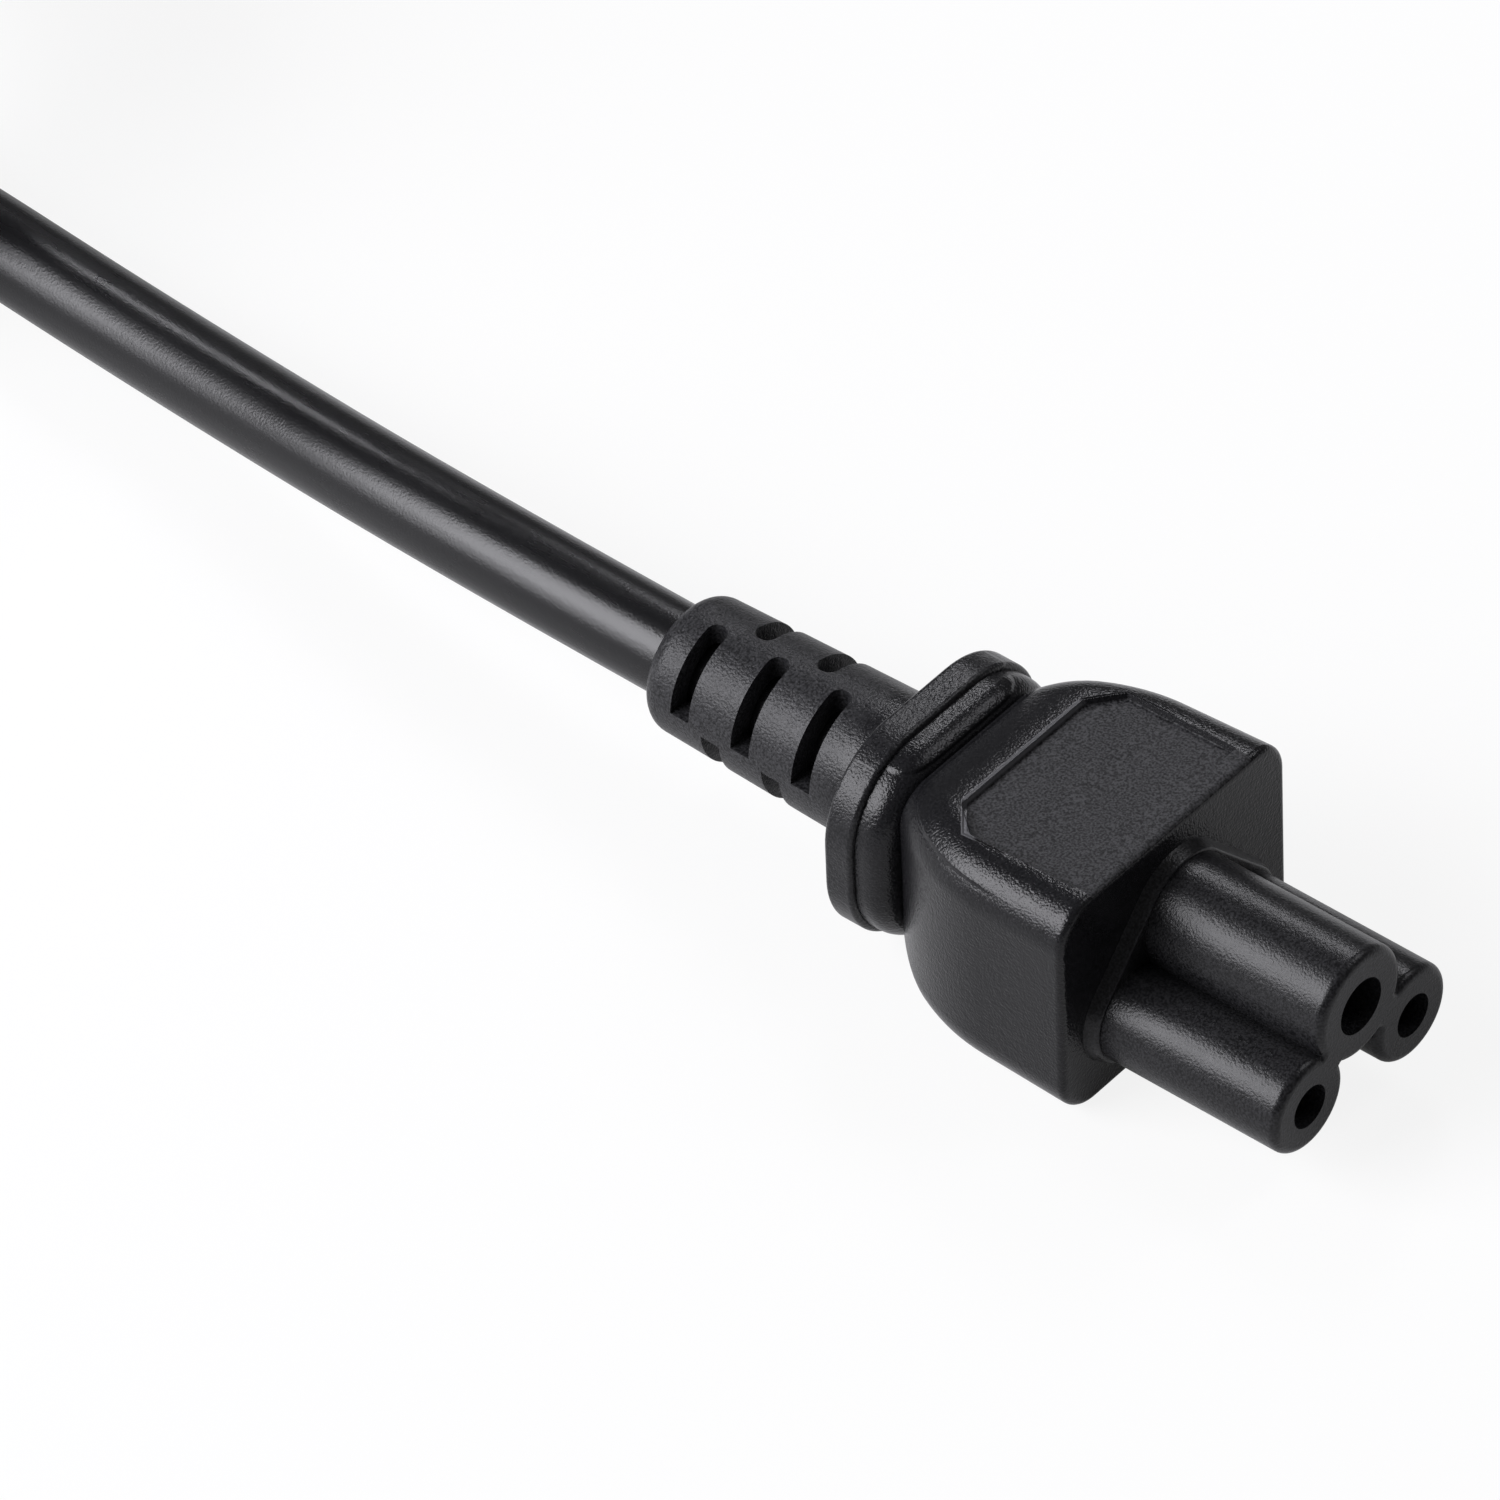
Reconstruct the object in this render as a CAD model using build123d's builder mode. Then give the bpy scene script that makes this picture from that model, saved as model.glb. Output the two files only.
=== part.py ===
"""Cloverleaf power cord: a three-pole appliance connector moulded on a round mains cord.

Millimetres. +X points out of the cloverleaf, the way the mating inlet lies, +Y is to its side and
+Z is up. The origin is under the middle of the connector, on the surface that it lies on.
"""

import os
from math import atan, cos, degrees, pi, radians, sin, sqrt, tan

from build123d import *

# Cloverleaf nose
pole_spacing = 10.0  # line to neutral, centre to centre
earth_rise = 4.6  # earth above the line and neutral axes
side_tube_d = 6.7  # line and neutral tubes
earth_tube_d = 7.9
tube_length = 13.5  # in front of the plinth
tube_rim_r = 0.6
plinth_height = 0.9
plinth_ledge = 0.2  # plinth top beyond the tubes' common outline
plinth_flare = 0.35  # plinth foot beyond its top
plinth_edge_r = 0.15
side_mouth_d = 3.0
earth_mouth_d = 3.9
mouth_depth = 3.0  # plain hole in front of each contact
carrier_depth = 6.5  # contact carrier behind the front face

# Contacts
side_pin_d = 2.4  # mating pins of the inlet
earth_pin_d = 3.2
contact_play = 0.05  # sleeve bore over its pin, on the diameter
sleeve_wall = 0.4
sleeve_floor = 1.5  # closed end of a sleeve
sleeve_slit = 0.5
slit_length = 9.0
crimp_d = 2.6
crimp_length = 4.5
seat_play = 0.02  # contact in its carrier, on the radius

# Connector body
body_width = 21.7
body_height = 16.9
pole_height = 5.85  # line and neutral axes above the underside
side_straight = 7.0  # flat stretch of the two sides behind the front face
side_draft = 0.25  # each side draws in by this over its flat stretch
top_straight = 11.5
top_draft = 0.4
body_length = 15.6  # front face to neck
neck_inset = 3.75  # neck inside each side of the body
neck_drop = 1.7  # neck below the top
neck_rise = 2.0  # neck above the underside
top_edge_r = 2.95
under_edge_r = 3.0
front_edge_r = 0.5

# Label recess on top
recess_width = 15.6
recess_length = 10.3
recess_chamfer_x = 1.8
recess_chamfer_y = 2.2
recess_depth = 0.45
recess_lean = 20.0  # degrees, walls of the recess
recess_set_back = 1.35  # behind the front face

# Flange and strain relief
flange_inset = 1.8  # flange inside each side of the body
flange_drop = 0.5  # flange below the body's top
flange_rise = 1.0  # flange above its underside
flange_corner_r = 6.2
flange_rim = 2.2
flange_edge_r = 0.35
bead_length = 2.4  # rounded bead between rim and neck
bead_step = 0.4  # bead inside the rim
bead_r = 1.7
relief_length = 18.6
relief_rear_d = 9.2
relief_root_d = 10.3
relief_end_r = 1.4
slot_width = 1.5
slot_pitch = 4.95
slot_first = 3.45  # rear end of the relief to the middle of the first slot
slot_rows = 3
slot_end_r = 0.7
slot_spine = 3.0  # degrees left standing at each end of a slot

# Cord
cord_d = 6.2
core_d = 2.0
core_ring = 1.25  # core centres from the cord's axis
core_bend_r = 1.8
core_lead = 1.2  # straight core at each end of its bend
jacket_inside = 17.0  # jacket held in the connector's relief
lead_exit = 15.0  # cord from the relief to its first bend

# Tied hank of the spare cord
hank_x = -153.0
hank_y = 3.0
hank_layers = 4
fold_r = 18.8  # middle of the cord round each end of the hank
waist_r = 25.0  # middle of the cord where the tie draws the runs together
waist_gap = 0.2  # between the two stacks of runs at the tie
tie_width = 9.0
tie_thickness = 0.8

# Plug
plug_gap = 53.0  # hank to the end of the plug's relief
tail_run = 33.0  # each of the cord's last two runs
plug_width = 26.0
plug_height = 25.0
plug_length = 21.0  # face to the start of the shoulder
plug_shoulder = 11.0
plug_corner_r = 4.0
plug_crown_r = 8.0
plug_edge_r = 1.0
plug_relief_length = 22.0
plug_relief_rear_d = 9.0
plug_relief_root_d = 11.5
plug_neck_d = 14.0  # end of the shoulder
neck_round = 0.42  # its corner radii as a share of its size
plug_jacket_inside = 18.0
grip_ribs = 5
grip_rib_width = 1.2
grip_rib_pitch = 2.4
grip_rib_depth = 0.5
bridge_depth = 6.0
bridge_margin = 2.6  # plug wall round the pin bridge
blade_width = 6.35
blade_thickness = 1.5
blade_length = 16.5
blade_spacing = 12.7
blade_height = 6.4  # blade centres above the underside
blade_tip_r = 1.6
blade_bevel = 0.4
earth_pin_rise = 11.9  # earth pin above the blades
plug_pin_d = 4.8
plug_pin_collar_d = 5.6  # where the bridge holds it
plug_pin_length = 19.5
plug_pin_tip_r = 2.0
plug_crimp_length = 5.0

# Derived places on the connector
connector_length = tube_length + plinth_height + body_length + bead_length + flange_rim + relief_length
front_x = connector_length / 2
plinth_x = front_x - tube_length
face_x = plinth_x - plinth_height
neck_x = face_x - body_length
rim_x = neck_x - bead_length
flange_x = rim_x - flange_rim
rear_x = flange_x - relief_length
earth_height = pole_height + earth_rise
neck_width = body_width - 2 * neck_inset
neck_height = body_height - neck_drop - neck_rise
axis_z = neck_rise + neck_height / 2  # relief and cord above the underside
flange_width = body_width - 2 * flange_inset
flange_height = body_height - flange_drop - flange_rise
flange_z = flange_rise + flange_height / 2
bead_width = flange_width - 2 * bead_step
bead_height = flange_height - 2 * bead_step
carrier_x = face_x - carrier_depth
sleeve_x = front_x - mouth_depth
crimp_x = carrier_x - crimp_length
jacket_x = rear_x + jacket_inside
slot_floor_d = 0.8 * cord_d  # slots reach through to the cord
# Each pole: its Y and Z, tube, mouth and pin diameters
poles = {
    "earth": (0.0, earth_height, earth_tube_d, earth_mouth_d, earth_pin_d),
    "line": (-pole_spacing / 2, pole_height, side_tube_d, side_mouth_d, side_pin_d),
    "neutral": (pole_spacing / 2, pole_height, side_tube_d, side_mouth_d, side_pin_d),
}
core_angle = {"earth": 90, "line": 210, "neutral": 330}

# Derived places on the cord and plug
hank_base = tie_thickness
hank_height = hank_layers * cord_d
hank_edge_r = 0.48 * cord_d
waist_half = cord_d + waist_gap / 2
waist_y = waist_half - cord_d / 2 + waist_r  # centre of a waist arc from the hank's middle
fold_x = sqrt((fold_r + waist_r) ** 2 - waist_y**2)
fold_turn = degrees(atan(waist_y / fold_x))
outer_r = fold_r + cord_d / 2
inner_r = waist_r - cord_d / 2
cord_area = pi * cord_d**2 / 4
hank_end_x = hank_x - fold_x - fold_r - cord_d / 2
floor_z = hank_base + cord_d / 2
top_run_z = hank_base + hank_height - cord_d / 2
top_run_y = hank_y + waist_half - cord_d / 2
plug_rear_x = hank_end_x - plug_gap
plug_root_x = plug_rear_x - plug_relief_length
plug_shoulder_x = plug_root_x - plug_shoulder
plug_face_x = plug_shoulder_x - plug_length
plug_jacket_x = plug_rear_x - plug_jacket_inside
bridge_x = plug_face_x + bridge_depth
plug_y = top_run_y
plug_axis_z = plug_height / 2
plug_crimp_x = bridge_x + plug_crimp_length
# Each plug pole: its Y and Z
plug_poles = {
    "earth": (plug_y, blade_height + earth_pin_rise),
    "line": (plug_y - blade_spacing / 2, blade_height),
    "neutral": (plug_y + blade_spacing / 2, blade_height),
}

# Cord route, chosen to follow the photograph and then the floor
lead_route = [
    (jacket_x, 0, axis_z),
    (rear_x - lead_exit, 0, axis_z),
    (rear_x - 47, 4.75, 4.25),
    (rear_x - 73, 7.0, floor_z),
    (rear_x - 97, 7.2, floor_z + 0.2),
]
tail_x = plug_jacket_x + 2 * tail_run
tail_route = [
    (tail_x + 20, top_run_y, top_run_z),
    (tail_x, top_run_y, top_run_z),
    (plug_jacket_x + tail_run, plug_y, plug_axis_z),
    (plug_jacket_x, plug_y, plug_axis_z),
]

os.makedirs("parts", exist_ok=True)


def across(x):
    """Plane square to the connector's axis at x: its x is the object's Y and its y the object's Z."""
    return Plane(origin=(x, 0, 0), x_dir=(0, 1, 0), z_dir=(1, 0, 0))


def save(piece, name):
    piece.part.label = name
    export_step(piece.part, f"parts/{name}.step")


def tubes_outline(extra):
    """Three pole circles, grown by extra, as one hull."""
    for y, z, tube_d, mouth_d, pin_d in poles.values():
        with Locations((y, z)):
            Circle(tube_d / 2 + extra)
    make_hull()


def shield(width, height, corner_r, crown_r):
    """Plug section about the plug's axis: two rounded lower corners and a round crown, as one hull."""
    foot = plug_axis_z - height / 2
    with Locations(
        (plug_y - width / 2 + corner_r, foot + corner_r), (plug_y + width / 2 - corner_r, foot + corner_r)
    ):
        Circle(corner_r)
    with Locations((plug_y, foot + height - crown_r)):
        Circle(crown_r)
    make_hull()


def sleeve_d(pin_d):
    return pin_d + contact_play + 2 * sleeve_wall


def disc(x, y, z, d):
    """Round section of diameter d, square to X at x."""
    with BuildSketch(across(x)) as section:
        with Locations((y, z)):
            Circle(d / 2)
    return section.sketch


def slots(x, y, z, reach, first_quarter):
    """Two opposite slots about (y, z), each a quarter long: one end flat, the other round."""
    with BuildSketch(across(x)) as section:
        for turn in (first_quarter, first_quarter + 180):
            with BuildLine() as outline:
                outer = CenterArc((y, z), reach, turn + slot_spine, 90 - 2 * slot_spine)
                inner = CenterArc((y, z), slot_floor_d / 2, turn + slot_spine, 90 - 2 * slot_spine)
                Line(inner @ 0, outer @ 0)
                Line(inner @ 1, outer @ 1)
            make_face(outline.edges())
    with BuildPart() as cutter:
        extrude(section.sketch, amount=slot_width)
        ends = cutter.edges().filter_by(GeomType.LINE).filter_by(Axis.X, reverse=True)
        fillet(ends.filter_by(lambda e: abs(e.center().Y - y) < abs(e.center().Z - z)), slot_end_r)
    return cutter.part


def relief(root_x, end_x, root_d, end_d, y, z, hold):
    """Tapered sleeve from root_x to end_x, slotted in turn in opposite quarters, over a held jacket."""
    way = 1 if end_x > root_x else -1
    loft([disc(root_x, y, z, root_d), disc(end_x, y, z, end_d)])
    fillet(edges().filter_by_position(Axis.X, end_x - 0.01, end_x + 0.01), relief_end_r)
    extrude(disc(end_x, y, z, cord_d), amount=-way * hold, mode=Mode.SUBTRACT)
    for row in range(2 * slot_rows - 1):
        middle = end_x - way * (slot_first + row * slot_pitch / 2)
        first_quarter = 90 if row % 2 == 0 else 0
        add(slots(middle - slot_width / 2, y, z, root_d, first_quarter), mode=Mode.SUBTRACT)


def core_path(start, end):
    """Straight, bend, straight, bend, straight: a core from the jacket to its crimp."""
    way = 1 if end[0] > start[0] else -1
    leave = (start[0] + way * core_lead, start[1], start[2])
    arrive = (end[0] - way * core_lead, end[1], end[2])
    FilletPolyline(start, leave, arrive, end, radius=core_bend_r)


def fillet_radii(points):
    """Largest arc that the two runs at each corner leave room for."""
    places = [Vector(p) for p in points]
    radii = []
    for before, corner, after in zip(places, places[1:], places[2:]):
        come = corner - before
        go = after - corner
        half_turn = radians(come.get_angle(go)) / 2
        radii.append(0.45 * min(come.length, go.length) / tan(half_turn))
    return radii


# Contacts: split sleeves with a crimp barrel behind
contacts = {}
for pole, (y, z, tube_d, mouth_d, pin_d) in poles.items():
    with BuildPart() as contact:
        extrude(disc(carrier_x, y, z, sleeve_d(pin_d)), amount=sleeve_x - carrier_x)
        extrude(disc(carrier_x, y, z, crimp_d), amount=-crimp_length)
        bore = disc(sleeve_x, y, z, pin_d + contact_play)
        extrude(bore, amount=carrier_x + sleeve_floor - sleeve_x, mode=Mode.SUBTRACT)
        with BuildSketch(across(sleeve_x)):
            with Locations((y, z + sleeve_d(pin_d) / 2)):
                Rectangle(sleeve_slit, sleeve_d(pin_d))
        extrude(amount=-slit_length, mode=Mode.SUBTRACT)
    contacts[pole] = contact
    save(contact, f"{pole}_contact")

# Insulated cores between the cord's jacket and the crimps
cores = {}
for pole, (y, z, tube_d, mouth_d, pin_d) in poles.items():
    angle = radians(core_angle[pole])
    start = (jacket_x, core_ring * cos(angle), axis_z + core_ring * sin(angle))
    with BuildPart() as core:
        with BuildLine() as path:
            core_path(start, (crimp_x, y, z))
        with BuildSketch(Plane(origin=start, z_dir=(1, 0, 0))):
            Circle(core_d / 2)
        sweep(path=path.line)
    cores[pole] = core
    save(core, f"{pole}_core")

# Cloverleaf insert: contact carrier, plinth and the three tubes in one moulding
with BuildPart() as cloverleaf_insert:
    with BuildSketch(across(face_x)):
        tubes_outline(plinth_ledge + plinth_flare)
    extrude(amount=plinth_height, taper=degrees(atan(plinth_flare / plinth_height)))
    fillet(faces().sort_by(Axis.X)[-1].edges(), plinth_edge_r)
    with BuildSketch(across(face_x)):
        tubes_outline(0)
    extrude(amount=-carrier_depth)
    with BuildSketch(across(plinth_x)):
        for y, z, tube_d, mouth_d, pin_d in poles.values():
            with Locations((y, z)):
                Circle(tube_d / 2)
    extrude(amount=tube_length)
    fillet(cloverleaf_insert.faces().sort_by(Axis.X)[-1].outer_wire().edges(), tube_rim_r)
    for y, z, tube_d, mouth_d, pin_d in poles.values():
        extrude(disc(front_x, y, z, mouth_d), amount=-mouth_depth, mode=Mode.SUBTRACT)
        seat_d = sleeve_d(pin_d) + 2 * seat_play
        extrude(disc(sleeve_x, y, z, seat_d), amount=carrier_x - sleeve_x, mode=Mode.SUBTRACT)
save(cloverleaf_insert, "cloverleaf_insert")

# Flange: a rim and, in front of it, a rounded bead that ends in the neck
with BuildPart() as flange:
    with BuildSketch(across(flange_x)):
        with Locations((0, flange_z)):
            RectangleRounded(flange_width, flange_height, flange_corner_r)
    extrude(amount=flange_rim)
    fillet(faces().filter_by(Axis.X).edges(), flange_edge_r)
    with BuildSketch(across(rim_x - bead_r)):
        with Locations((0, flange_z)):
            RectangleRounded(bead_width, bead_height, flange_corner_r - bead_step)
    extrude(amount=bead_length + bead_r)
    fillet(faces().sort_by(Axis.X)[-1].edges(), bead_r)

# Connector body: block with domed shoulders, label recess, flange and strain relief in one moulding
with BuildPart() as connector_body:
    with BuildSketch():
        with BuildLine():
            side = Line((face_x, body_width / 2), (face_x - side_straight, body_width / 2 - side_draft))
            shoulder = TangentArc(side @ 1, (neck_x, neck_width / 2), tangent=side % 1)
            Line(shoulder @ 1, (neck_x, 0))
            Line(side @ 0, (face_x, 0))
            mirror(about=Plane.XZ)
        make_face()
    extrude(amount=body_height)
    with BuildSketch(Plane.XZ):
        with BuildLine():
            top = Line((face_x, body_height), (face_x - top_straight, body_height - top_draft))
            upper = TangentArc(top @ 1, (neck_x, axis_z + neck_height / 2), tangent=top % 1)
            under = Line((face_x, 0), (face_x - top_straight, 0))
            lower = TangentArc(under @ 1, (neck_x, axis_z - neck_height / 2), tangent=under % 1)
            Line(upper @ 1, lower @ 1)
            Line(top @ 0, under @ 0)
        make_face()
    extrude(amount=body_width, both=True, mode=Mode.INTERSECT)
    long_edges = edges().filter_by(Axis.Y, reverse=True).filter_by(Axis.Z, reverse=True)
    fillet([e for e in long_edges if e.center().Z > axis_z], top_edge_r)
    long_edges = edges().filter_by(lambda e: e.center().Z < axis_z)
    long_edges = long_edges.filter_by(Axis.Y, reverse=True).filter_by(Axis.Z, reverse=True)
    fillet(long_edges.filter_by(lambda e: neck_x + 0.1 < e.center().X < face_x - 0.1), under_edge_r)
    fillet(faces().sort_by(Axis.X)[-1].outer_wire().edges(), front_edge_r)
    slope = Vector(-top_straight, 0, -top_draft)
    lid = Plane(origin=(face_x, 0, body_height), x_dir=slope, z_dir=slope.cross(Vector(0, -1, 0)))
    with BuildSketch(lid):
        with Locations((recess_set_back + recess_length / 2, 0)):
            Rectangle(recess_length, recess_width)
        chamfer(vertices().group_by(Axis.X)[-1], recess_chamfer_x, recess_chamfer_y)
    extrude(amount=-recess_depth, taper=recess_lean, mode=Mode.SUBTRACT)
    add(flange.part)
    relief(flange_x, rear_x, relief_root_d, relief_rear_d, 0, axis_z, jacket_inside)
    with BuildSketch(across(face_x)):
        tubes_outline(0)
    extrude(amount=-carrier_depth, mode=Mode.SUBTRACT)
    for pole in poles:
        add(contacts[pole].part, mode=Mode.SUBTRACT)
        add(cores[pole].part, mode=Mode.SUBTRACT)
save(connector_body, "connector_body")

# Spare cord in a tied hank, as one solid of its outer shape
with BuildPart() as cord_hank:
    with BuildSketch(Plane.XY.offset(hank_base)):
        with BuildLine():
            for end in (1, -1):
                start = fold_turn - 90 * (end + 1)
                CenterArc((hank_x + end * fold_x, hank_y), outer_r, start, 360 - 2 * fold_turn)
                CenterArc((hank_x, hank_y + end * waist_y), inner_r, start, 180 - 2 * fold_turn)
        make_face()
    extrude(amount=hank_height)
    fillet(faces().filter_by(Axis.Z).edges(), hank_edge_r)
save(cord_hank, "cord_hank")

# Cord on each side of the hank
for name, route in {"cord_lead": lead_route, "cord_tail": tail_route}.items():
    radii = fillet_radii(route)
    print(name, "radii", [round(radius) for radius in radii])
    with BuildPart() as tube:
        with BuildLine() as path:
            FilletPolyline(*route, radius=radii)
        with BuildSketch(Plane(origin=route[0], z_dir=Vector(route[1]) - Vector(route[0]))):
            Circle(cord_d / 2)
        sweep(path=path.line)
        swept = path.wire().length * cord_area
        print(name, "volume over section times length", round(tube.part.volume / swept, 3))
        add(cord_hank.part, mode=Mode.SUBTRACT)
    save(tube, name)

# Tie round the middle of the hank
with BuildPart() as cord_tie:
    with BuildSketch(across(hank_x - tie_width / 2)):
        with Locations((hank_y, hank_base + hank_height / 2)):
            RectangleRounded(2 * waist_half, hank_height, hank_edge_r)
            offset(amount=tie_thickness, mode=Mode.REPLACE)
            RectangleRounded(2 * waist_half, hank_height, hank_edge_r, mode=Mode.SUBTRACT)
    extrude(amount=tie_width)
    add(cord_hank.part, mode=Mode.SUBTRACT)
save(cord_tie, "cord_tie")

# Plug blades and earth pin, each with a crimp barrel behind
plug_pins = {}
for pole, (y, z) in plug_poles.items():
    with BuildPart() as plug_pin:
        if pole == "earth":
            extrude(disc(plug_face_x, y, z, plug_pin_d), amount=-plug_pin_length)
            fillet(faces().sort_by(Axis.X)[0].edges(), plug_pin_tip_r)
            extrude(disc(bridge_x, y, z, plug_pin_collar_d), amount=-bridge_depth)
        else:
            with BuildSketch(across(bridge_x)):
                with Locations((y, z)):
                    Rectangle(blade_thickness, blade_width)
            extrude(amount=-(bridge_depth + blade_length))
            fillet(faces().sort_by(Axis.X)[0].edges().filter_by(Axis.Y), blade_tip_r)
            chamfer(faces().sort_by(Axis.X)[0].edges().filter_by(Axis.Z), blade_bevel)
        extrude(disc(bridge_x, y, z, crimp_d), amount=plug_crimp_length)
    plug_pins[pole] = plug_pin
save(plug_pins["earth"], "plug_earth_pin")
save(plug_pins["line"], "line_blade")
save(plug_pins["neutral"], "neutral_blade")

# Insulated cores in the plug
plug_cores = {}
for pole, (y, z) in plug_poles.items():
    angle = radians(core_angle[pole])
    start = (plug_jacket_x, plug_y + core_ring * cos(angle), plug_axis_z + core_ring * sin(angle))
    with BuildPart() as core:
        with BuildLine() as path:
            core_path(start, (plug_crimp_x, y, z))
        with BuildSketch(Plane(origin=start, z_dir=(-1, 0, 0))):
            Circle(core_d / 2)
        sweep(path=path.line)
    plug_cores[pole] = core
    save(core, f"plug_{pole}_core")

# Pin bridge that holds the blades at the plug's face
with BuildPart() as plug_bridge:
    with BuildSketch(across(plug_face_x)):
        shield(plug_width, plug_height, plug_corner_r, plug_crown_r)
        offset(amount=-bridge_margin, mode=Mode.REPLACE)
    extrude(amount=bridge_depth)
    for pole in plug_poles:
        add(plug_pins[pole].part, mode=Mode.SUBTRACT)
save(plug_bridge, "plug_bridge")

# Plug body: grip, shoulder and strain relief in one moulding
with BuildPart() as plug_body:
    with BuildSketch(across(plug_face_x)):
        shield(plug_width, plug_height, plug_corner_r, plug_crown_r)
    extrude(amount=plug_length)
    fillet(faces().sort_by(Axis.X)[0].edges(), plug_edge_r)
    with BuildSketch(across(plug_shoulder_x)):
        shield(plug_width, plug_height, plug_corner_r, plug_crown_r)
    with BuildSketch(across(plug_root_x)):
        shield(plug_neck_d, plug_neck_d, plug_neck_d * neck_round, plug_neck_d * neck_round)
    loft()
    for rib in range(grip_ribs):
        with BuildSketch(across(plug_shoulder_x - grip_rib_width - rib * grip_rib_pitch)):
            shield(plug_width, plug_height, plug_corner_r, plug_crown_r)
            offset(amount=-grip_rib_depth, mode=Mode.SUBTRACT)
        extrude(amount=grip_rib_width, mode=Mode.SUBTRACT)
    plug_ends = (plug_root_x, plug_rear_x, plug_relief_root_d, plug_relief_rear_d)
    relief(*plug_ends, plug_y, plug_axis_z, plug_jacket_inside)
    with BuildSketch(across(plug_face_x)):
        shield(plug_width, plug_height, plug_corner_r, plug_crown_r)
        offset(amount=-bridge_margin, mode=Mode.REPLACE)
    extrude(amount=bridge_depth, mode=Mode.SUBTRACT)
    for pole in plug_poles:
        add(plug_pins[pole].part, mode=Mode.SUBTRACT)
        add(plug_cores[pole].part, mode=Mode.SUBTRACT)
save(plug_body, "plug_body")
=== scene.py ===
# %% [markdown]
# # Cloverleaf power cord
#
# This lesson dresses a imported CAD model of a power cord: a three-pole cloverleaf connector moulded on
# a round black cord. The shapes come from the CAD model, which stays fixed. Here we lay the cord as one
# smooth spline, give every piece a finish made of nodes, and light it as in a product photograph.

import bpy
import numpy as np
from mathutils import Matrix


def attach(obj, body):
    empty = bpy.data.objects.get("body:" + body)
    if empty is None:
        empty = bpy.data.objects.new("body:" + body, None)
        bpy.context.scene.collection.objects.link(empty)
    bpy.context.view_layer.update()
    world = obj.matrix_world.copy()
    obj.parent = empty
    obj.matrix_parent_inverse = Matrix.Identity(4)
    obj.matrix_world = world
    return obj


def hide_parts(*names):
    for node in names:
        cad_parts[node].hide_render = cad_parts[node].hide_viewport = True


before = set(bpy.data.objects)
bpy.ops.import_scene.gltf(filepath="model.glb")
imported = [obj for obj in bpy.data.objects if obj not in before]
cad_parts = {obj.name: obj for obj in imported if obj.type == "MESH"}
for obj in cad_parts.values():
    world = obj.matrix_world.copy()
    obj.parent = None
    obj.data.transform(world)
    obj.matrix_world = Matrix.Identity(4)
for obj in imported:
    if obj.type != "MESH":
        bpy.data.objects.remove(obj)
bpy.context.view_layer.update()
MM = 0.001
print("nodes:", len(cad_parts))

# %% [markdown]
# ## The camera
#
# The photograph was taken from far away with a long lens, so parallel edges stay nearly parallel. The
# angles and the lens below were found by matching the cloverleaf's holes and the body's corners, with
# the line and neutral holes 10 mm apart. A camera's matrix has three columns: right, up and back. We
# work them out from azimuth, elevation and roll, so that no helper has to guess the frame.

# %% Camera from its angles
AZIMUTH, ELEVATION, ROLL = np.radians([41.655, 43.294, -2.472])
PHOTO_PIXELS, FOCAL_PIXELS = 1500, 16585.0  # width of the photograph, and its focal length
SENSOR = 36.0  # mm
DISTANCE, SLIDE_RIGHT, SLIDE_UP = 1000.0 * MM, -36.872 * MM, 18.751 * MM
NOSE_TIP = np.array([26.6, 0.0, 5.85]) * MM  # between the line and neutral holes


def set_place(thing, right, up, back, place):
    """World matrix of a camera or lamp: its three directions and its place, one column each."""
    columns = np.column_stack([right, up, back, place])
    thing.matrix_world = Matrix(np.vstack([columns, [0, 0, 0, 1]]).tolist())


back = np.array(
    [np.sin(AZIMUTH) * np.cos(ELEVATION), -np.cos(AZIMUTH) * np.cos(ELEVATION), np.sin(ELEVATION)]
)
level_right = np.array([np.cos(AZIMUTH), np.sin(AZIMUTH), 0.0])
level_up = np.cross(back, level_right)
right = np.cos(ROLL) * level_right + np.sin(ROLL) * level_up
up = np.cos(ROLL) * level_up - np.sin(ROLL) * level_right
place = NOSE_TIP + back * DISTANCE + right * SLIDE_RIGHT + up * SLIDE_UP

camera_data = bpy.data.cameras.new("photo_camera")
camera_data.sensor_width = SENSOR
camera_data.lens = SENSOR * FOCAL_PIXELS / PHOTO_PIXELS
camera_data.clip_start, camera_data.clip_end = 0.05, 60.0
camera = bpy.data.objects.new("photo_camera", camera_data)
set_place(camera, right, up, back, place)
bpy.context.collection.objects.link(camera)
bpy.context.scene.camera = camera
print("camera at", place.round(3), "lens", round(camera_data.lens, 1), "mm")

# %% [markdown]
# ## The cord
#
# The real cord is one length of round PVC cable. It leaves the relief straight, sinks to the table, and
# its spare length is folded into a tied hank outside the picture, before it ends in a plug. A tube could
# be swept piece by piece, but a single NURBS spline bends as evenly as a real cable does. Its control
# points are the route's points from the CAD model. The hank is three figure-of-bone turns: each end is
# a circle, and the tie draws the runs together at the waist. Every turn lies one layer above the last,
# and the climb is in the half of the loop that faces the connector.

# %% Route points of the cord, in mm
CORD_D = 6.2
RELIEF_END_X, EXIT_Z = -26.6, 8.6  # where the cord leaves the connector
LAYER_0, HANK_X, HANK_Y, TURNS = 3.9, -153.0, 3.0, 3
FOLD_R, FOLD_X = 18.8, 33.514  # end circles, and their distance from the hank's middle
WAIST, WAIST_X = 3.2, 11.7  # half the waist, and half the length of its straight run
FOLD_STEP, SHRINK = 40.0, 0.94  # degrees between points, and the spline's radius as a share of theirs
CLIMB_FROM, CLIMB_TO = -140.0, 20.0  # degrees on the near circle between which a turn gains height
PLUG_JACKET_X, PLUG_Y, PLUG_Z = -279.414, 6.2, 12.5

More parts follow.
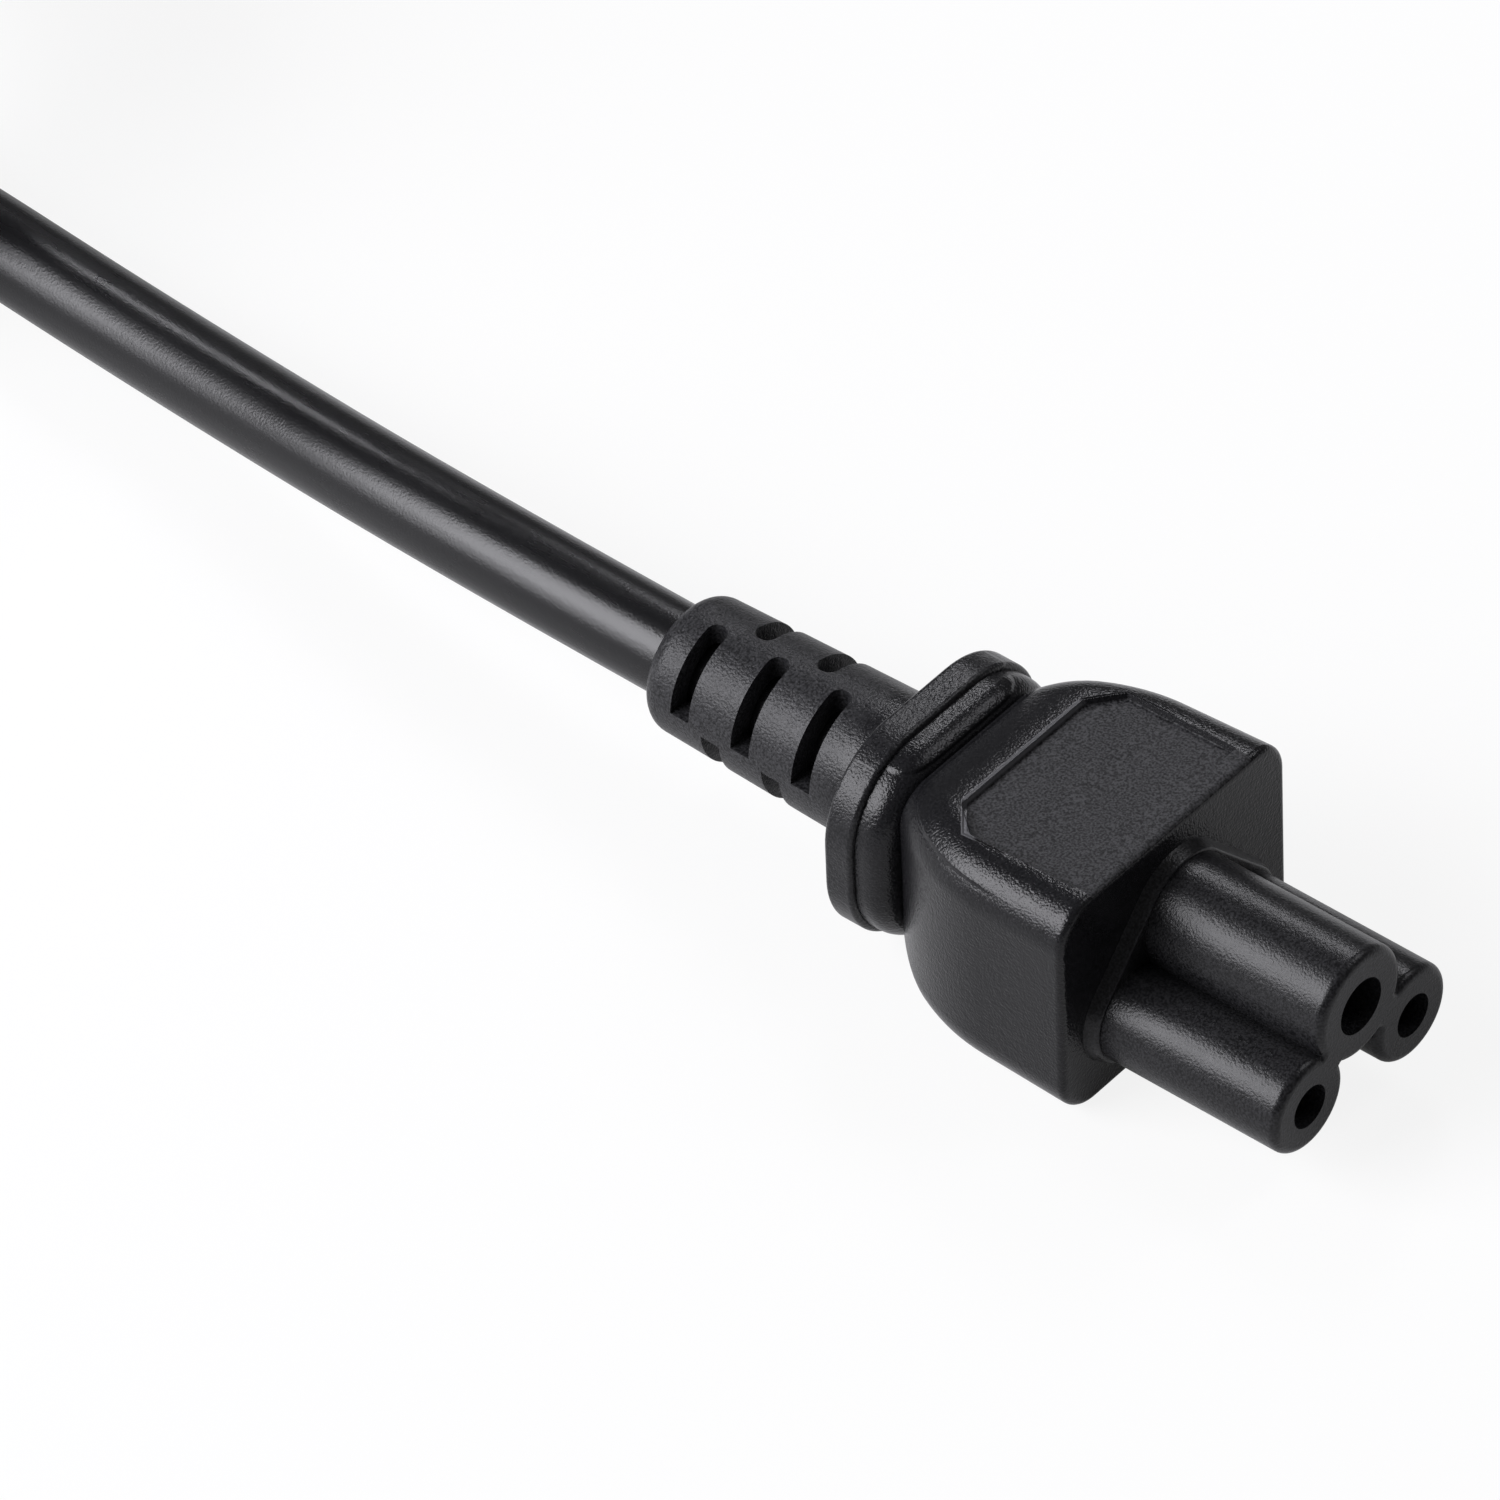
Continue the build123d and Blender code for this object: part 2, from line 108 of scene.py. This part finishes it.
lead_points = np.array(
    [
        [-9.6, 0.0, EXIT_Z],
        [-41.6, 0.0, EXIT_Z],
        [-73.6, 4.75, 4.25],
        [-99.6, 7.0, LAYER_0],
        [-123.6, 7.2, LAYER_0 + 0.2],
    ]
)
tail_points = np.array(
    [
        [PLUG_JACKET_X + 86, PLUG_Y, LAYER_0 + TURNS * CORD_D],
        [PLUG_JACKET_X + 66, PLUG_Y, LAYER_0 + TURNS * CORD_D],
        [PLUG_JACKET_X + 33, PLUG_Y, PLUG_Z],
        [PLUG_JACKET_X, PLUG_Y, PLUG_Z],
    ]
)


def hank_points(turns):
    """Control points of the hank's turns, all at once.

    End circle: centre (+-FOLD_X, 0), eight points at FOLD_R / SHRINK, because a quadratic spline runs
    inside its points. Waist: two points at +-WAIST. Height: one CORD_D for each turn, gained on the near
    circle between CLIMB_FROM and CLIMB_TO.
    """
    angles = np.radians(FOLD_STEP * np.arange(1, 9))
    reach = FOLD_R / SHRINK
    far = np.column_stack([reach * np.cos(angles) - FOLD_X, reach * np.sin(angles), np.zeros(8)])
    near_angles = angles - np.pi
    climb = np.clip((np.degrees(near_angles) - CLIMB_FROM) / (CLIMB_TO - CLIMB_FROM), 0, 1)
    near = np.column_stack([reach * np.cos(near_angles) + FOLD_X, reach * np.sin(near_angles), climb])
    low = np.array([[-WAIST_X, -WAIST, 0.0], [WAIST_X, -WAIST, 0.0]])
    high = np.array([[WAIST_X, WAIST, 1.0], [-WAIST_X, WAIST, 1.0]])
    turn = np.vstack([far, low, near, high])
    layers = np.arange(turns)[:, None, None] * np.array([0.0, 0.0, 1.0])
    points = (turn[None] + layers).reshape(-1, 3)
    return points * [1, 1, CORD_D] + [HANK_X, HANK_Y, LAYER_0]


first_waist = np.array([[HANK_X - WAIST_X, HANK_Y + WAIST, LAYER_0]])
route = np.vstack([lead_points, first_waist, hank_points(TURNS), tail_points]) * MM
print("route points:", len(route))

# %% One smooth spline
cord_data = bpy.data.curves.new("cord", "CURVE")
cord_data.dimensions = "3D"
spline = cord_data.splines.new("NURBS")
spline.points.add(len(route) - 1)
spline.points.foreach_set("co", np.column_stack([route, np.ones(len(route))]).ravel())
spline.points.foreach_set("radius", np.full(len(route), CORD_D * MM / 2))
spline.order_u = 3
spline.use_endpoint_u = True
cord_data.resolution_u = 10
cord = bpy.data.objects.new("cord", cord_data)
bpy.context.collection.objects.link(cord)


def run_length(curve):
    """Length of a curve that has no bevel yet: the sum of the steps between its points."""
    mesh = bpy.data.meshes.new_from_object(curve.evaluated_get(bpy.context.evaluated_depsgraph_get()))
    points = np.empty(3 * len(mesh.vertices))
    mesh.vertices.foreach_get("co", points)
    bpy.data.meshes.remove(mesh)
    return float(np.linalg.norm(np.diff(points.reshape(-1, 3), axis=0), axis=1).sum())


cord_length = run_length(cord)
cord_data.bevel_depth = 1.0  # metres, times each point's radius
cord_data.bevel_resolution = 10
cord_data.use_fill_caps = True
print("cord length:", round(cord_length, 3), "m")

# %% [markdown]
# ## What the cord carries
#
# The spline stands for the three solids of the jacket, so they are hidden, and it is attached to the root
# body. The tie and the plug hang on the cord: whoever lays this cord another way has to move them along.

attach(cord, "root")
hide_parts("cord_lead", "cord_hank", "cord_tail")

# %% [markdown]
# ## Shared effects
#
# Moulded plastic is never one flat colour. A spark-eroded mould leaves a field of tiny pits, and
# handling leaves faint cloudy patches where the sheen changes. More than one finish needs them, so each
# effect is a node group with named sockets, built once and placed with its own values.


# %% Helpers for groups and materials
def socketed_group(name, inputs, outputs):
    """Empty shader group with float inputs {name: default} and float outputs [name]."""
    group = bpy.data.node_groups.new(name, "ShaderNodeTree")
    for label, value in inputs.items():
        socket = group.interface.new_socket(label, in_out="INPUT", socket_type="NodeSocketFloat")
        socket.default_value = value
    for label in outputs:
        group.interface.new_socket(label, in_out="OUTPUT", socket_type="NodeSocketFloat")
    return group, group.nodes.new("NodeGroupInput"), group.nodes.new("NodeGroupOutput")


def feed(tree, socket, value):
    """Sets an input to a number, or links it to another node's output."""
    if isinstance(value, bpy.types.NodeSocket):
        tree.links.new(value, socket)
    else:
        socket.default_value = value


def maths(tree, operation, *values, clamp=False):
    """Math node whose inputs are numbers or sockets; returns its output socket."""
    node = tree.nodes.new("ShaderNodeMath")
    node.operation = operation
    node.use_clamp = clamp
    for socket, value in zip(node.inputs, values):
        feed(tree, socket, value)
    return node.outputs[0]


def scaled(tree, value, gain, offset, clamp=False):
    """gain * value + offset, where each may be a number or a socket."""
    return maths(tree, "MULTIPLY_ADD", value, gain, offset, clamp=clamp)


def contrast(tree, value, gain):
    """Spreads a value about 0.5 and keeps it between 0 and 1."""
    return scaled(tree, maths(tree, "SUBTRACT", value, 0.5), gain, 0.5, clamp=True)


def noise(tree, vector, scale, detail=2.0, roughness=0.5):
    """Noise texture on a vector; returns its value socket."""
    node = tree.nodes.new("ShaderNodeTexNoise")
    feed(tree, node.inputs["Vector"], vector)
    feed(tree, node.inputs["Scale"], scale)
    feed(tree, node.inputs["Detail"], detail)
    feed(tree, node.inputs["Roughness"], roughness)
    return node.outputs[0]


def object_place(tree):
    """Object coordinates: metres in the model's own frame."""
    return tree.nodes.new("ShaderNodeTexCoord").outputs["Object"]


# %% Spark grain and handling haze
COARSE_SCALE, COARSE_SHARE = 0.37, 0.3  # a second, wider field of pits and its share of the height
SPECKLE_CONTRAST, HAZE_CONTRAST = 3.4, 1.8

grain, grain_in, grain_out = socketed_group("spark_grain", {"Pits per mm": 4.0}, ["Height", "Speckle"])
where = object_place(grain)
per_metre = maths(grain, "MULTIPLY", grain_in.outputs["Pits per mm"], 1.0 / MM)
fine = noise(grain, where, per_metre, detail=1.0)
coarse = noise(grain, where, maths(grain, "MULTIPLY", per_metre, COARSE_SCALE), detail=1.0)
height = scaled(grain, fine, 1.0 - COARSE_SHARE, maths(grain, "MULTIPLY", coarse, COARSE_SHARE))
feed(grain, grain_out.inputs["Height"], height)
feed(grain, grain_out.inputs["Speckle"], contrast(grain, fine, SPECKLE_CONTRAST))

haze, haze_in, haze_out = socketed_group("handling_haze", {"Patch mm": 6.0}, ["Haze"])
patches_per_metre = maths(haze, "DIVIDE", 1.0 / MM, haze_in.outputs["Patch mm"])
cloud = noise(haze, object_place(haze), patches_per_metre, detail=4.0, roughness=0.55)
feed(haze, haze_out.inputs["Haze"], contrast(haze, cloud, HAZE_CONTRAST))
print("groups:", grain.name, haze.name)


# %% Helpers that make a finish
def finish_of(name):
    """New material with its Principled shader; returns the material, its tree and the shader."""
    material = bpy.data.materials.new(name)
    material.use_nodes = True
    tree = material.node_tree
    return material, tree, tree.nodes["Principled BSDF"]


def pits_of(tree, per_mm):
    """Places the spark grain; returns its Height and Speckle sockets."""
    node = tree.nodes.new("ShaderNodeGroup")
    node.node_tree = grain
    node.inputs["Pits per mm"].default_value = per_mm
    return node.outputs["Height"], node.outputs["Speckle"]


def haze_of(tree, patch_mm):
    """Places the handling haze; returns its socket."""
    node = tree.nodes.new("ShaderNodeGroup")
    node.node_tree = haze
    node.inputs["Patch mm"].default_value = patch_mm
    return node.outputs["Haze"]


def two_tones(tree, shader, factor, dark, light):
    """Base Color between two colours by a value that changes over the surface."""
    mix = tree.nodes.new("ShaderNodeMix")
    mix.data_type = "RGBA"
    feed(tree, mix.inputs["Factor"], factor)
    mix.inputs["A"].default_value = (*dark, 1.0)
    mix.inputs["B"].default_value = (*light, 1.0)
    feed(tree, shader.inputs["Base Color"], mix.outputs["Result"])


def relief_bump(tree, shader, height, distance, strength=1.0):
    """Bump from a height of 0 to 1 that stands for a distance in mm."""
    bump = tree.nodes.new("ShaderNodeBump")
    bump.inputs["Distance"].default_value = distance * MM
    bump.inputs["Strength"].default_value = strength
    feed(tree, bump.inputs["Height"], height)
    feed(tree, shader.inputs["Normal"], bump.outputs["Normal"])


def wear(node_names, material):
    """Gives CAD nodes one finish."""
    for name in node_names:
        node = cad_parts[name]
        node.data.materials.clear()
        node.data.materials.append(material)
    print(material.name, "on", ", ".join(node_names))


# %% [markdown]
# ## Black PVC of the connector
#
# The connector's body is one moulding, but its mould had two finishes. The label panel, up to the front
# edge, and the strain relief are coarser and look greyer; the flange and the rest of the body are
# smoother, with sparkling highlights along the edges. A thin pale line along the panel's rear rim is a
# painted highlight on its edge, carried down the recess wall where there would be shade.
# We tell these zones apart by place: object coordinates are metres in the model's frame, so a range of
# x, y and z is a mask that stays on the piece from any side.

# %% Masks by place, in mm
PANEL_REAR, PANEL_FRONT, PANEL_SIDE = 0.55, 12.25, 7.8  # limits in x, and in y on either side
CUT_FROM, CUT_X, CUT_Y = 5.6, 0.774, 0.633  # cut corners: start in y, and the direction across them
NO_LIMIT = 1000.0


def inside(tree, value, low, high, soft):
    """1 between low and high, falling to 0 over soft on either side."""
    ramps = []
    for start, end, to_min, to_max in ((low - soft, low, 0.0, 1.0), (high, high + soft, 1.0, 0.0)):
        ramp = tree.nodes.new("ShaderNodeMapRange")
        ramp.interpolation_type = "SMOOTHSTEP"
        feed(tree, ramp.inputs["Value"], value)
        ramp.inputs["From Min"].default_value = start * MM
        ramp.inputs["From Max"].default_value = end * MM
        ramp.inputs["To Min"].default_value = to_min
        ramp.inputs["To Max"].default_value = to_max
        ramps.append(ramp.outputs["Result"])
    return maths(tree, "MULTIPLY", *ramps)


def all_of(tree, first, *others):
    """Product of masks: 1 only where each of them is 1."""
    for mask in others:
        first = maths(tree, "MULTIPLY", first, mask)
    return first


def into_panel(tree, x, y):
    """Distance into the label panel's finish, negative outside it: the least of four.

    x - PANEL_REAR, PANEL_FRONT - x, PANEL_SIDE - |y|, and across the cut corners
    CUT_X (x - PANEL_REAR) - CUT_Y (|y| - CUT_FROM).
    """
    away = maths(tree, "ABSOLUTE", y)
    rear = maths(tree, "SUBTRACT", x, PANEL_REAR * MM)
    front = maths(tree, "SUBTRACT", PANEL_FRONT * MM, x)
    side = maths(tree, "SUBTRACT", PANEL_SIDE * MM, away)
    corner = scaled(tree, rear, CUT_X, scaled(tree, away, -CUT_Y, CUT_Y * CUT_FROM * MM))
    ends = maths(tree, "MINIMUM", rear, front)
    return maths(tree, "MINIMUM", maths(tree, "MINIMUM", ends, side), corner)


print("label panel:", PANEL_FRONT - PANEL_REAR, "x", 2 * PANEL_SIDE, "mm")

# %% Zones of the body: low, high and soft edge of each range, in mm
TOP_Z = 15.5, 18.0, 0.2
SLEEVE_X = -30.0, -13.0, 4.0
FLANGE_X = -7.9, -5.8, 0.3
REAR_X = -9.0, 2.5, 5.5
PANEL_INTO, FRAME_INTO = (0.17, NO_LIMIT, 0.05), (0.0, NO_LIMIT, 0.2)
# Band of the painted highlight on the panel's rear rim: across the edge and wall, then its reach in x and
# y.
RIM_HIGHLIGHT_INTO, RIM_HIGHLIGHT_X, RIM_HIGHLIGHT_Y = (-0.2, 0.1, 0.06), (-1.0, 3.0, 0.4), (-9.0, 5.4, 0.4)
SLEEVE_SHARE, FLANGE_SHARE = 0.6, 0.2  # how coarse these are, where the panel is 1

body_pvc, tree, shader = finish_of("body_pvc")
split = tree.nodes.new("ShaderNodeSeparateXYZ")
feed(tree, split.inputs[0], object_place(tree))
x, y, z = split.outputs
into = into_panel(tree, x, y)
on_top = inside(tree, z, *TOP_Z)
panel = all_of(tree, inside(tree, into, *PANEL_INTO), on_top)
sleeve = inside(tree, x, *SLEEVE_X)
flange = inside(tree, x, *FLANGE_X)
coarse_zone = scaled(tree, sleeve, SLEEVE_SHARE, scaled(tree, flange, FLANGE_SHARE, panel), clamp=True)
# Mask of the painted highlight on the panel's rear rim and the recess wall below it.
near_rim_highlight = inside(tree, into, *RIM_HIGHLIGHT_INTO)
painted_rim_highlight = all_of(tree, near_rim_highlight, on_top, inside(tree, x, *RIM_HIGHLIGHT_X), inside(tree, y, *RIM_HIGHLIGHT_Y))
round_panel = maths(tree, "SUBTRACT", 1.0, inside(tree, into, *FRAME_INTO))
rear_frame = all_of(tree, round_panel, inside(tree, x, *REAR_X), on_top)
print("zones: panel, sleeve, flange, rim, rear frame")

# %% Finish of the body
BODY_PITS, BODY_PATCH, BODY_BUMP = 6.5, 5.0, 0.07  # per mm, mm, mm
# The rim's tone is the strength of a painted highlight, not wear.
SPECKLE_SMOOTH, SPECKLE_COARSE, RIM_HIGHLIGHT_TONE = 0.05, 0.30, 0.7  # how far each goes towards the light tone
DEPTH_SMOOTH, DEPTH_COARSE = 0.8, 0.2  # share of the bump everywhere, and what a coarse zone adds
ROLL_OFF = 1.5  # fall of the rear frame at the panel's edge, in bump heights

height, speckle = pits_of(tree, BODY_PITS)
speckle_and_highlight = maths(tree, "MULTIPLY", speckle, scaled(tree, coarse_zone, SPECKLE_COARSE, SPECKLE_SMOOTH))
# Painted highlight: on the rear rim and its wall the base colour is lifted towards the light tone.
speckle_and_highlight = scaled(tree, painted_rim_highlight, RIM_HIGHLIGHT_TONE, speckle_and_highlight, clamp=True)
two_tones(tree, shader, speckle_and_highlight, dark=(0.0045, 0.0045, 0.0052), light=(0.10, 0.10, 0.106))
sheen = scaled(tree, haze_of(tree, BODY_PATCH), gain=0.06, offset=0.18)
feed(tree, shader.inputs["Roughness"], scaled(tree, coarse_zone, gain=0.3, offset=sheen))
shader.inputs["Specular IOR Level"].default_value = 0.21
depth = scaled(tree, coarse_zone, DEPTH_COARSE, DEPTH_SMOOTH)
surface = scaled(tree, height, depth, maths(tree, "MULTIPLY", rear_frame, ROLL_OFF))
relief_bump(tree, shader, surface, BODY_BUMP)
wear(["connector_body"], body_pvc)

# %% [markdown]
# ## Nose, plug and cord plastics
#
# The cloverleaf nose is a harder moulding with an even grain. The plug repeats the connector's PVC
# without the label panel. The cord's jacket is drawn through a die, so it is smoother and its texture
# runs along the cord: we stretch the noise along the curve with the spline's own UV.


# %% Nose and plug plastics
def moulded_plastic(name, pits_per_mm, patch_mm, dark, light, roughness, haze_share):
    """Even grained plastic: tone by speckle, roughness raised by the haze, a shallow bump."""
    material, tree, shader = finish_of(name)
    height, speckle = pits_of(tree, pits_per_mm)
    two_tones(tree, shader, speckle, dark, light)
    feed(tree, shader.inputs["Roughness"], scaled(tree, haze_of(tree, patch_mm), haze_share, roughness))
    shader.inputs["Specular IOR Level"].default_value = 0.2
    relief_bump(tree, shader, height, 0.07, strength=0.5)
    return material


NOSE_TONES = (0.004, 0.004, 0.0045), (0.017, 0.017, 0.0182)
PLUG_TONES = (0.008, 0.008, 0.009), (0.032, 0.032, 0.034)
nose_nylon = moulded_plastic("nose_nylon", 6.5, 4.0, *NOSE_TONES, roughness=0.25, haze_share=0.08)
plug_pvc = moulded_plastic("plug_pvc", 6.0, 8.0, *PLUG_TONES, roughness=0.38, haze_share=0.1)
wear(["cloverleaf_insert", "plug_bridge"], nose_nylon)
wear(["plug_body"], plug_pvc)

# %% Drawn jacket of the cord
STREAKS_ALONG, STREAKS_ROUND = 160.0, 24.0  # noise cells over the cord's length and round it

jacket, tree, shader = finish_of("drawn_jacket")
stretch = tree.nodes.new("ShaderNodeMapping")
stretch.inputs["Scale"].default_value = (STREAKS_ALONG, STREAKS_ROUND, 1.0)
feed(tree, stretch.inputs["Vector"], tree.nodes.new("ShaderNodeTexCoord").outputs["UV"])
streaks = noise(tree, stretch.outputs["Vector"], 1.0, detail=4.0, roughness=0.6)
height = pits_of(tree, per_mm=6.0)[0]
two_tones(tree, shader, streaks, dark=(0.003, 0.003, 0.0034), light=(0.007, 0.007, 0.0077))
sheen = scaled(tree, haze_of(tree, patch_mm=9.0), gain=0.05, offset=0.22)
feed(tree, shader.inputs["Roughness"], scaled(tree, streaks, gain=0.06, offset=sheen))
shader.inputs["Specular IOR Level"].default_value = 0.30
surface = scaled(tree, streaks, gain=0.1, offset=maths(tree, "MULTIPLY", height, 0.9))
relief_bump(tree, shader, surface, distance=0.04, strength=0.5)
cord_data.materials.append(jacket)
print(jacket.name, "on", cord.name)

# %% [markdown]
# ## Metal, insulation and the tie
#
# Few of these can be seen, but they are part of the object. Contacts are drawn brass with fine lines
# along the sleeve. Blades are nickel plated with a faint brushed grain. Cores follow the usual colours:
# brown, blue, and green with a yellow stripe. The tie is a matt rubber band.


# %% Contacts and blades
def drawn_metal(name, dark, light, roughness, lines_per_mm):
    """Metal with lines along x: noise cells 25 mm long and 1 / lines_per_mm wide."""
    material, tree, shader = finish_of(name)
    along, across = 1.0 / (25.0 * MM), lines_per_mm / MM
    squeeze = tree.nodes.new("ShaderNodeMapping")
    squeeze.inputs["Scale"].default_value = (along, across, across)
    feed(tree, squeeze.inputs["Vector"], object_place(tree))
    lines = noise(tree, squeeze.outputs["Vector"], 1.0, detail=3.0)
    two_tones(tree, shader, haze_of(tree, patch_mm=3.0), dark, light)
    feed(tree, shader.inputs["Roughness"], scaled(tree, lines, gain=0.14, offset=roughness))
    shader.inputs["Metallic"].default_value = 1.0
    relief_bump(tree, shader, lines, distance=0.01, strength=0.4)
    return material


BRASS_TONES = (0.62, 0.43, 0.17), (0.80, 0.62, 0.30)
NICKEL_TONES = (0.60, 0.59, 0.56), (0.76, 0.75, 0.72)
drawn_brass = drawn_metal("drawn_brass", *BRASS_TONES, roughness=0.26, lines_per_mm=9.0)
nickel_plate = drawn_metal("nickel_plate", *NICKEL_TONES, roughness=0.16, lines_per_mm=7.0)
wear(["earth_contact", "line_contact", "neutral_contact"], drawn_brass)
wear(["line_blade", "neutral_blade", "plug_earth_pin"], nickel_plate)


# %% Core insulation
def insulation(name, dark, light, striped=False):
    """Smooth coloured PVC: two tones by the haze, or striped along x where sin(2.6 y) > 0.35, y in mm."""
    material, tree, shader = finish_of(name)
    clouds = haze_of(tree, patch_mm=2.0)
    factor = clouds
    if striped:
        split = tree.nodes.new("ShaderNodeSeparateXYZ")
        feed(tree, split.inputs[0], object_place(tree))
        wave = maths(tree, "SINE", maths(tree, "MULTIPLY", split.outputs[1], 2.6 / MM))
        factor = maths(tree, "GREATER_THAN", wave, 0.35)
    two_tones(tree, shader, factor, dark, light)
    feed(tree, shader.inputs["Roughness"], scaled(tree, clouds, gain=0.1, offset=0.34))
    return material


brown = insulation("brown_insulation", (0.10, 0.040, 0.018), (0.14, 0.055, 0.024))
blue = insulation("blue_insulation", (0.020, 0.07, 0.28), (0.028, 0.09, 0.34))
green_yellow = insulation("earth_insulation", (0.05, 0.24, 0.05), (0.72, 0.62, 0.05), striped=True)
wear(["line_core", "plug_line_core"], brown)
wear(["neutral_core", "plug_neutral_core"], blue)
wear(["earth_core", "plug_earth_core"], green_yellow)

# %% Rubber of the tie
tie_rubber, tree, shader = finish_of("tie_rubber")
height, speckle = pits_of(tree, per_mm=2.4)
clouds = haze_of(tree, patch_mm=5.0)
two_tones(tree, shader, clouds, dark=(0.010, 0.010, 0.011), light=(0.022, 0.022, 0.024))
feed(tree, shader.inputs["Roughness"], scaled(tree, speckle, gain=0.14, offset=0.56))
relief_bump(tree, shader, height, distance=0.05, strength=0.7)
wear(["cord_tie"], tie_rubber)

# %% [markdown]
# ## The floor
#
# The photograph is a cut-out on white. A pale floor takes the shadow. A brighter lamp would make it
# white, but also wash out the black plastic, so for the camera most of the floor's brightness is its
# own, and a little of it for reflections.


# %% Floor
def sheet_mesh(name, half, height):
    """Square grid in x and y: both parameters run from -half to half, z is constant."""
    u, v = np.meshgrid(np.linspace(-half, half, 3), np.linspace(-half, half, 3), indexing="ij")
    points = np.column_stack([u.ravel(), v.ravel(), np.full(9, height)])
    i = np.array([0, 1, 3, 4])
    faces = np.column_stack([i, i + 3, i + 4, i + 1])
    mesh = bpy.data.meshes.new(name)
    mesh.from_pydata(points.tolist(), [], faces.tolist())
    mesh.update()
    return mesh


FLOOR_HALF, FLOOR_Z = 15.0, -0.05 * MM
PAINT = 0.68
SEEN_GLOW, MIRRORED_GLOW = 0.87, 0.2  # share of its own white, to the camera and in reflections

floor = bpy.data.objects.new("floor", sheet_mesh("floor", FLOOR_HALF, FLOOR_Z))
bpy.context.collection.objects.link(floor)
pale = bpy.data.materials.new("pale_floor")
pale.use_nodes = True
tree = pale.node_tree
tree.nodes.clear()
output = tree.nodes.new("ShaderNodeOutputMaterial")
paint = tree.nodes.new("ShaderNodeBsdfDiffuse")
paint.inputs["Color"].default_value = (PAINT, PAINT, PAINT, 1.0)
glow = tree.nodes.new("ShaderNodeEmission")
glow.inputs["Color"].default_value = (1.0, 1.0, 1.0, 1.0)
ray = tree.nodes.new("ShaderNodeLightPath")
mirrored = maths(tree, "MAXIMUM", ray.outputs["Is Glossy Ray"], ray.outputs["Is Transmission Ray"])
seen = maths(tree, "MULTIPLY", ray.outputs["Is Camera Ray"], SEEN_GLOW)
blend = tree.nodes.new("ShaderNodeMixShader")
feed(tree, blend.inputs[0], scaled(tree, mirrored, MIRRORED_GLOW, seen))
feed(tree, blend.inputs[1], paint.outputs[0])
feed(tree, blend.inputs[2], glow.outputs[0])
feed(tree, output.inputs["Surface"], blend.outputs[0])
floor.data.materials.append(pale)
print("floor:", 2 * FLOOR_HALF, "m wide")

# %% [markdown]
# ## The light
#
# Black plastic shows light mostly as reflections, so each lamp is placed where the camera sees it
# mirrored. A wide soft box on the left draws the long highlights on cord, body and tubes, and a weaker
# one below it gives them a soft lower edge. A small strip behind lights the tops of the tubes, another
# with a narrow beam the far end of the cord, and a box on the right lifts the top faces. The world fills
# the rest at a low level.

# %% Soft boxes
COOL_WHITE = (0.96, 0.955, 1.0)
ALL_ROUND = 180.0


def soft_box(name, direction, distance, size, power, middle=(0.0, 0.0, 0.0), beam=ALL_ROUND):
    """Rectangular lamp at distance along direction from a middle on the object (mm), facing it."""
    lamp = bpy.data.lights.new(name, "AREA")
    lamp.shape = "RECTANGLE"
    lamp.size, lamp.size_y = size
    lamp.energy = power
    lamp.color = COOL_WHITE
    lamp.spread = np.radians(beam)
    box = bpy.data.objects.new(name, lamp)
    towards = np.array(direction) / np.linalg.norm(direction)
    side = np.cross([0.0, 0.0, 1.0], towards)
    side = side / np.linalg.norm(side)
    spot = np.array(middle) * MM + towards * distance
    set_place(box, side, np.cross(towards, side), towards, spot)
    box.visible_camera = False
    bpy.context.collection.objects.link(box)
    print(name, "at", spot.round(2))


soft_box("left_box", (-0.48, -0.67, 0.565), 1.0, size=(0.8, 0.58), power=18.5)
soft_box("low_box", (-0.644, -0.741, 0.19), 1.0, size=(0.5, 0.2), power=1.9)
soft_box("nose_strip", (-0.44, 0.58, 0.685), 0.5, size=(0.10, 0.13), power=0.55, middle=(15.0, 0.0, 12.0))
soft_box(
    "cord_strip", (-0.66, 0.39, 0.64), 0.35, size=(0.05, 0.06), power=0.0022,
    middle=(-105.0, 4.0, 6.0), beam=14.0,
)
soft_box("right_box", (0.36, 0.56, 0.75), 1.0, size=(0.4, 0.4), power=2.2)

# %% World
WORLD_LEVEL = 0.12
world = bpy.data.worlds.new("studio")
world.use_nodes = True
sky = world.node_tree.nodes["Background"]
sky.inputs["Color"].default_value = (1.0, 1.0, 1.0, 1.0)
sky.inputs["Strength"].default_value = WORLD_LEVEL
bpy.context.scene.world = world
bpy.context.scene.view_settings.view_transform = "Standard"
print("world level:", WORLD_LEVEL)
